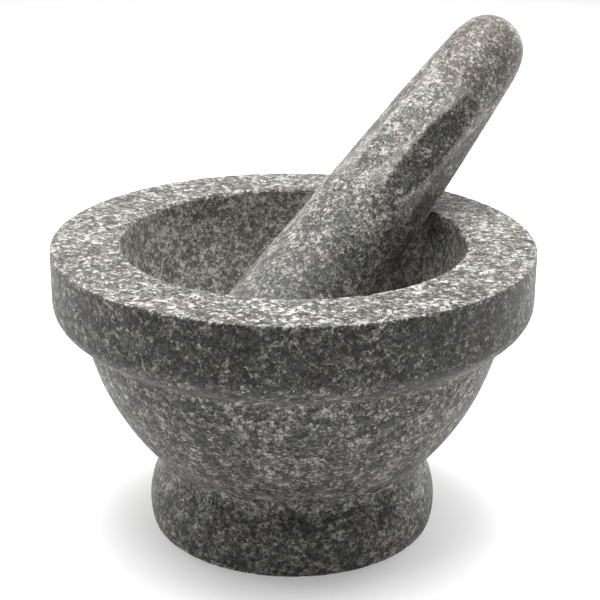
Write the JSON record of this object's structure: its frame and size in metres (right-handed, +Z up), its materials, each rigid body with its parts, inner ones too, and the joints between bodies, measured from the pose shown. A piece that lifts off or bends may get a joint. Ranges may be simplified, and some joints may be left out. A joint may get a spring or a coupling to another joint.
{
  "type": "mortar and pestle",
  "caption": "Granite molcajete: a smooth-turned stone bowl with a thick rim band on a low waisted foot, with a loose faceted pestle leaning inside.",
  "frame": {"origin": "on the mortar's axis, in the flat face it stands on", "axes": "+Z up along the mortar's axis, -Y to the front, the pestle leaning towards +X and +Y"},
  "size_m": [0.2013, 0.2, 0.2046],
  "materials": {
    "mortar_granite": "fine-ground speckled granite, matt",
    "pestle_granite": "fine-ground speckled granite, matt"
  },
  "bodies": {
    "mortar": {"mortar": "mortar_granite"},
    "pestle": {"pestle": "pestle_granite"}
  },
  "joints": [
    {"name": "pestle_lift", "type": "slide", "parent": "mortar", "child": "pestle", "axis": [0, 0, 1], "range_m": [0, 0.16]}
  ]
}
